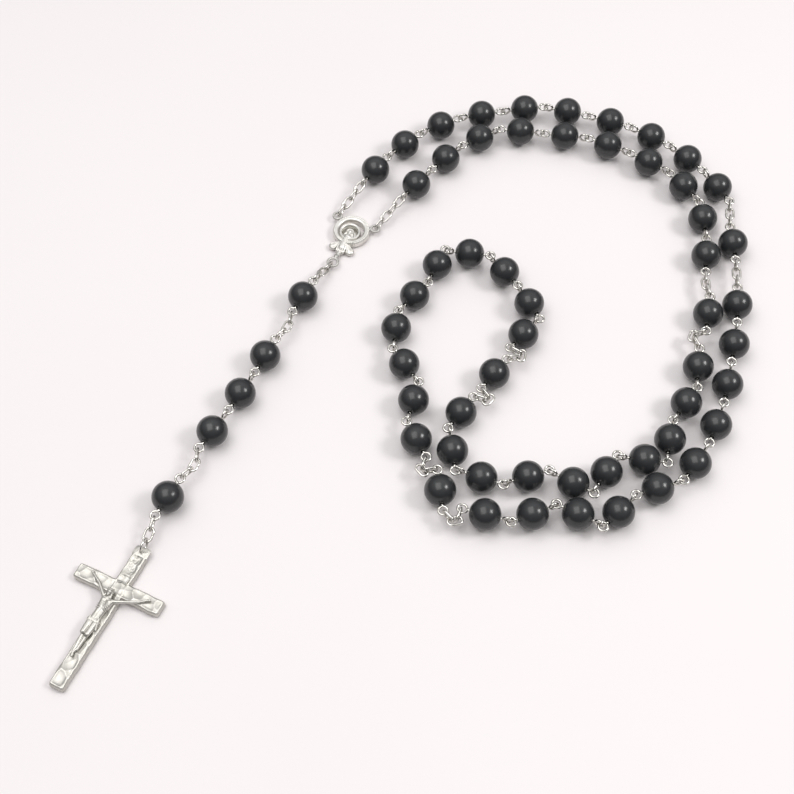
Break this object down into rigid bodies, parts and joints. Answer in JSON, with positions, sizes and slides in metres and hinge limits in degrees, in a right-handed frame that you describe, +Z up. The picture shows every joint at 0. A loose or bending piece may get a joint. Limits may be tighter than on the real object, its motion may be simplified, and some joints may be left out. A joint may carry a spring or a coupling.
{
  "type": "rosary",
  "caption": "Loop of round black beads on eye pins and wire links, joined by a cast centre medal to a short pendant that ends in a crucifix with a relief figure.",
  "frame": {"origin": "middle of the object's bounding box, at its lowest level, on the surface that it lies on", "axes": "+Z up from the surface that the rosary lies on, +X towards the decades of the loop, +Y towards the loop's outer side, away from the crucifix"},
  "size_m": [0.1903, 0.1953, 0.009],
  "materials": {
    "black_glass": "polished opaque black",
    "silver_wire": "bright silver tone",
    "cast_silver": "bright cast silver tone with darker recesses"
  },
  "bodies": {
    "centre_medal": {"centre_medal": "cast_silver"},
    "decade_1": {"decade_1_beads": "black_glass", "decade_1_pins": "silver_wire"},
    "decade_2": {"decade_2_beads": "black_glass", "decade_2_pins": "silver_wire"},
    "decade_3": {"decade_3_beads": "black_glass", "decade_3_pins": "silver_wire"},
    "decade_4": {"decade_4_beads": "black_glass", "decade_4_pins": "silver_wire"},
    "decade_5": {"decade_5_beads": "black_glass", "decade_5_pins": "silver_wire"},
    "chain_1": {"chain_1": "silver_wire"},
    "chain_2": {"chain_2": "silver_wire"},
    "chain_3": {"chain_3": "silver_wire"},
    "chain_4": {"chain_4": "silver_wire"},
    "chain_5": {"chain_5": "silver_wire"},
    "chain_6": {"chain_6": "silver_wire"},
    "chain_7": {"chain_7": "silver_wire"},
    "chain_8": {"chain_8": "silver_wire"},
    "chain_9": {"chain_9": "silver_wire"},
    "chain_10": {"chain_10": "silver_wire"},
    "single_1": {"single_1_pin": "silver_wire"},
    "single_1_bead": {"single_1_bead": "black_glass"},
    "single_2": {"single_2_pin": "silver_wire"},
    "single_2_bead": {"single_2_bead": "black_glass"},
    "single_3": {"single_3_pin": "silver_wire"},
    "single_3_bead": {"single_3_bead": "black_glass"},
    "single_4": {"single_4_pin": "silver_wire"},
    "single_4_bead": {"single_4_bead": "black_glass"},
    "pendant_link_1": {"pendant_link_1": "silver_wire"},
    "pendant_link_2": {"pendant_link_2": "silver_wire"},
    "pendant_link_3": {"pendant_link_3": "silver_wire"},
    "pendant_pin_1": {"pendant_pin_1": "silver_wire"},
    "pendant_bead_1": {"pendant_bead_1": "black_glass"},
    "pendant_link_4": {"pendant_link_4": "silver_wire"},
    "pendant_link_5": {"pendant_link_5": "silver_wire"},
    "pendant_link_6": {"pendant_link_6": "silver_wire"},
    "pendant_pin_2": {"pendant_pin_2": "silver_wire"},
    "pendant_bead_2": {"pendant_bead_2": "black_glass"},
    "pendant_pin_3": {"pendant_pin_3": "silver_wire"},
    "pendant_bead_3": {"pendant_bead_3": "black_glass"},
    "pendant_pin_4": {"pendant_pin_4": "silver_wire"},
    "pendant_bead_4": {"pendant_bead_4": "black_glass"},
    "pendant_link_7": {"pendant_link_7": "silver_wire"},
    "pendant_link_8": {"pendant_link_8": "silver_wire"},
    "pendant_link_9": {"pendant_link_9": "silver_wire"},
    "pendant_pin_5": {"pendant_pin_5": "silver_wire"},
    "pendant_bead_5": {"pendant_bead_5": "black_glass"},
    "pendant_link_10": {"pendant_link_10": "silver_wire"},
    "pendant_link_11": {"pendant_link_11": "silver_wire"},
    "crucifix_ring": {"crucifix_ring": "silver_wire"},
    "crucifix": {"crucifix": "cast_silver", "corpus": "cast_silver", "title_plate": "cast_silver"}
  },
  "joints": [
    {"name": "decade_1_lift", "type": "hinge", "parent": "centre_medal", "child": "decade_1", "pos_m": [-0.0202, 0.0615, 0.0043], "axis": [0.9978, -0.0667, 0], "range_deg": [0, 30]},
    {"name": "decade_2_lift", "type": "hinge", "parent": "centre_medal", "child": "decade_2", "pos_m": [0.08994, 0.02373, 0.0043], "axis": [-0.753, -0.6581, 0], "range_deg": [0, 20]},
    {"name": "decade_3_lift", "type": "hinge", "parent": "centre_medal", "child": "decade_3", "pos_m": [-0.00096, -0.03494, 0.0043], "axis": [0.5424, 0.8401, 0], "range_deg": [0, 20]},
    {"name": "decade_4_lift", "type": "hinge", "parent": "centre_medal", "child": "decade_4", "pos_m": [0.01261, -0.01386, 0.0043], "axis": [-0.9688, -0.2478, 0], "range_deg": [0, 20]},
    {"name": "decade_5_lift", "type": "hinge", "parent": "centre_medal", "child": "decade_5", "pos_m": [0.08106, 0.02707, 0.0043], "axis": [0.9514, -0.308, 0], "range_deg": [0, 30]},
    {"name": "chain_1_turn", "type": "hinge", "parent": "centre_medal", "child": "chain_1", "pos_m": [-0.0272, 0.05181, 0.00145], "axis": [0.5695, 0.7886, 0.232], "range_deg": [0, 5]},
    {"name": "chain_2_turn", "type": "hinge", "parent": "centre_medal", "child": "chain_2", "pos_m": [0.09173, 0.0549, 0.0043], "axis": [-0.116, -0.9932, 0], "range_deg": [0, 3]},
    {"name": "chain_3_turn", "type": "hinge", "parent": "centre_medal", "child": "chain_3", "pos_m": [0.0906, 0.03248, 0.0043], "axis": [0.0815, 0.9967, 0], "range_deg": [0, 5]},
    {"name": "chain_4_turn", "type": "hinge", "parent": "centre_medal", "child": "chain_4", "pos_m": [0.00767, -0.04933, 0.0043], "axis": [-0.9846, -0.1748, 0], "range_deg": [0, 12.5]},
    {"name": "chain_5_turn", "type": "hinge", "parent": "centre_medal", "child": "chain_5", "pos_m": [0.00147, -0.03755, 0.0043], "axis": [-0.6288, 0.7776, 0], "range_deg": [0, 5]},
    {"name": "chain_6_turn", "type": "hinge", "parent": "centre_medal", "child": "chain_6", "pos_m": [0.02257, 0.00126, 0.0043], "axis": [-0.2164, -0.9763, 0], "range_deg": [-10, 0]},
    {"name": "chain_7_turn", "type": "hinge", "parent": "centre_medal", "child": "chain_7", "pos_m": [0.01397, -0.01222, 0.0043], "axis": [-0.6223, -0.7828, 0], "range_deg": [0, 10]},
    {"name": "chain_8_turn", "type": "hinge", "parent": "centre_medal", "child": "chain_8", "pos_m": [0.07623, 0.00144, 0.0043], "axis": [0.4133, 0.9106, 0], "range_deg": [-2, 0]},
    {"name": "chain_9_turn", "type": "hinge", "parent": "centre_medal", "child": "chain_9", "pos_m": [0.08144, 0.01954, 0.0043], "axis": [-0.0286, 0.9996, 0], "range_deg": [0, 3]},
    {"name": "chain_10_turn", "type": "hinge", "parent": "centre_medal", "child": "chain_10", "pos_m": [-0.01579, 0.04673, 0.00145], "axis": [0.6283, 0.743, 0.2307], "range_deg": [0, 5]},
    {"name": "single_1_turn", "type": "hinge", "parent": "centre_medal", "child": "single_1", "pos_m": [0.0906, 0.0452, 0.0043], "axis": [0, -1, 0], "range_deg": [-10, 10]},
    {"name": "single_1_bead_spin", "type": "hinge", "parent": "single_1", "child": "single_1_bead", "pos_m": [0.0906, 0.03884, 0.0043], "axis": [0, -1, 0], "continuous": true},
    {"name": "single_2_turn", "type": "hinge", "parent": "centre_medal", "child": "single_2", "pos_m": [0.0028, -0.0502, 0.0043], "axis": [-0.1045, 0.9945, 0], "range_deg": [-5, 5]},
    {"name": "single_2_bead_spin", "type": "hinge", "parent": "single_2", "child": "single_2_bead", "pos_m": [0.00214, -0.04387, 0.0043], "axis": [-0.1045, 0.9945, 0], "continuous": true},
    {"name": "single_3_turn", "type": "hinge", "parent": "centre_medal", "child": "single_3", "pos_m": [0.0218, -0.0022, 0.0043], "axis": [-0.6157, -0.788, 0], "range_deg": [-5, 5]},
    {"name": "single_3_bead_spin", "type": "hinge", "parent": "single_3", "child": "single_3_bead", "pos_m": [0.01788, -0.00721, 0.0043], "axis": [-0.6157, -0.788, 0], "continuous": true},
    {"name": "single_4_turn", "type": "hinge", "parent": "centre_medal", "child": "single_4", "pos_m": [0.0788, 0.0071, 0.0043], "axis": [0.2079, 0.9781, 0], "range_deg": [-10, 10]},
    {"name": "single_4_bead_spin", "type": "hinge", "parent": "single_4", "child": "single_4_bead", "pos_m": [0.08012, 0.01332, 0.0043], "axis": [0.2079, 0.9781, 0], "continuous": true},
    {"name": "pendant_link_1_swing", "type": "hinge", "parent": "centre_medal", "child": "pendant_link_1", "pos_m": [-0.02866, 0.03347, 0.00133], "axis": [0, 0, 1], "range_deg": [-40, 40]},
    {"name": "pendant_link_2_lift", "type": "hinge", "parent": "pendant_link_1", "child": "pendant_link_2", "pos_m": [-0.03017, 0.03096, 0.00224], "axis": [-0.8572, 0.515, 0], "range_deg": [0, 35]},
    {"name": "pendant_link_3_swing", "type": "hinge", "parent": "pendant_link_2", "child": "pendant_link_3", "pos_m": [-0.03167, 0.02846, 0.00314], "axis": [0, 0, -1], "range_deg": [-40, 40]},
    {"name": "pendant_pin_1_lift", "type": "hinge", "parent": "pendant_link_3", "child": "pendant_pin_1", "pos_m": [-0.03321, 0.02602, 0.0043], "axis": [0.891, -0.454, 0], "range_deg": [0, 20]},
    {"name": "pendant_bead_1_spin", "type": "hinge", "parent": "pendant_pin_1", "child": "pendant_bead_1", "pos_m": [-0.03657, 0.01942, 0.0043], "axis": [-0.454, -0.891, 0], "continuous": true},
    {"name": "pendant_link_4_swing", "type": "hinge", "parent": "pendant_pin_1", "child": "pendant_link_4", "pos_m": [-0.03955, 0.01358, 0.0043], "axis": [0, 0, 1], "range_deg": [-40, 40]},
    {"name": "pendant_link_5_lift", "type": "hinge", "parent": "pendant_link_4", "child": "pendant_link_5", "pos_m": [-0.03991, 0.01051, 0.0043], "axis": [-0.9272, 0.3746, 0], "range_deg": [0, 35]},
    {"name": "pendant_link_6_swing", "type": "hinge", "parent": "pendant_link_5", "child": "pendant_link_6", "pos_m": [-0.04105, 0.00768, 0.0043], "axis": [0, 0, -1], "range_deg": [-40, 40]},
    {"name": "pendant_pin_2_lift", "type": "hinge", "parent": "pendant_link_6", "child": "pendant_pin_2", "pos_m": [-0.04331, 0.00554, 0.0043], "axis": [0.9063, -0.4226, 0], "range_deg": [0, 35]},
    {"name": "pendant_bead_2_spin", "type": "hinge", "parent": "pendant_pin_2", "child": "pendant_bead_2", "pos_m": [-0.04644, -0.00117, 0.0043], "axis": [-0.4226, -0.9063, 0], "continuous": true},
    {"name": "pendant_pin_3_swing", "type": "hinge", "parent": "pendant_pin_2", "child": "pendant_pin_3", "pos_m": [-0.04921, -0.00711, 0.0043], "axis": [0, 0, 1], "range_deg": [-40, 40]},
    {"name": "pendant_bead_3_spin", "type": "hinge", "parent": "pendant_pin_3", "child": "pendant_bead_3", "pos_m": [-0.05268, -0.01365, 0.0043], "axis": [-0.4695, -0.8829, 0], "continuous": true},
    {"name": "pendant_pin_4_swing", "type": "hinge", "parent": "pendant_pin_3", "child": "pendant_pin_4", "pos_m": [-0.05576, -0.01944, 0.0043], "axis": [0, 0, -1], "range_deg": [-40, 40]},
    {"name": "pendant_bead_4_spin", "type": "hinge", "parent": "pendant_pin_4", "child": "pendant_bead_4", "pos_m": [-0.05957, -0.02578, 0.0043], "axis": [-0.515, -0.8572, 0], "continuous": true},
    {"name": "pendant_link_7_swing", "type": "hinge", "parent": "pendant_pin_4", "child": "pendant_link_7", "pos_m": [-0.06295, -0.0314, 0.0043], "axis": [0, 0, 1], "range_deg": [-40, 40]},
    {"name": "pendant_link_8_lift", "type": "hinge", "parent": "pendant_link_7", "child": "pendant_link_8", "pos_m": [-0.06291, -0.03452, 0.0043], "axis": [-0.9272, 0.3746, 0], "range_deg": [0, 35]},
    {"name": "pendant_link_9_swing", "type": "hinge", "parent": "pendant_link_8", "child": "pendant_link_9", "pos_m": [-0.06406, -0.03735, 0.0043], "axis": [0, 0, -1], "range_deg": [-40, 40]},
    {"name": "pendant_pin_5_lift", "type": "hinge", "parent": "pendant_link_9", "child": "pendant_pin_5", "pos_m": [-0.06648, -0.03931, 0.0043], "axis": [0.891, -0.454, 0], "range_deg": [0, 35]},
    {"name": "pendant_bead_5_spin", "type": "hinge", "parent": "pendant_pin_5", "child": "pendant_bead_5", "pos_m": [-0.06984, -0.04591, 0.0043], "axis": [-0.454, -0.891, 0], "continuous": true},
    {"name": "pendant_link_10_swing", "type": "hinge", "parent": "pendant_pin_5", "child": "pendant_link_10", "pos_m": [-0.07282, -0.05175, 0.0043], "axis": [0, 0, 1], "range_deg": [-40, 40]},
    {"name": "pendant_link_11_lift", "type": "hinge", "parent": "pendant_link_10", "child": "pendant_link_11", "pos_m": [-0.07346, -0.05466, 0.00357], "axis": [-0.9397, 0.342, 0], "range_deg": [0, 35]},
    {"name": "crucifix_ring_swing", "type": "hinge", "parent": "pendant_link_11", "child": "crucifix_ring", "pos_m": [-0.07447, -0.05745, 0.00283], "axis": [0, 0, -1], "range_deg": [-40, 40]},
    {"name": "crucifix_swing", "type": "hinge", "parent": "crucifix_ring", "child": "crucifix", "pos_m": [-0.07577, -0.06101, 0.0019], "axis": [0, 0, 1], "range_deg": [-35, 35]}
  ],
  "couplings": [
    {"joint": "chain_1_turn", "follows": "decade_1_lift", "ratio": 0.16667},
    {"joint": "chain_2_turn", "follows": "decade_1_lift", "ratio": 0.1},
    {"joint": "chain_3_turn", "follows": "decade_2_lift", "ratio": 0.25},
    {"joint": "chain_4_turn", "follows": "decade_2_lift", "ratio": 0.625},
    {"joint": "chain_5_turn", "follows": "decade_3_lift", "ratio": 0.25},
    {"joint": "chain_6_turn", "follows": "decade_3_lift", "ratio": -0.5},
    {"joint": "chain_7_turn", "follows": "decade_4_lift", "ratio": 0.5},
    {"joint": "chain_8_turn", "follows": "decade_4_lift", "ratio": -0.1},
    {"joint": "chain_9_turn", "follows": "decade_5_lift", "ratio": 0.1},
    {"joint": "chain_10_turn", "follows": "decade_5_lift", "ratio": 0.16667}
  ]
}
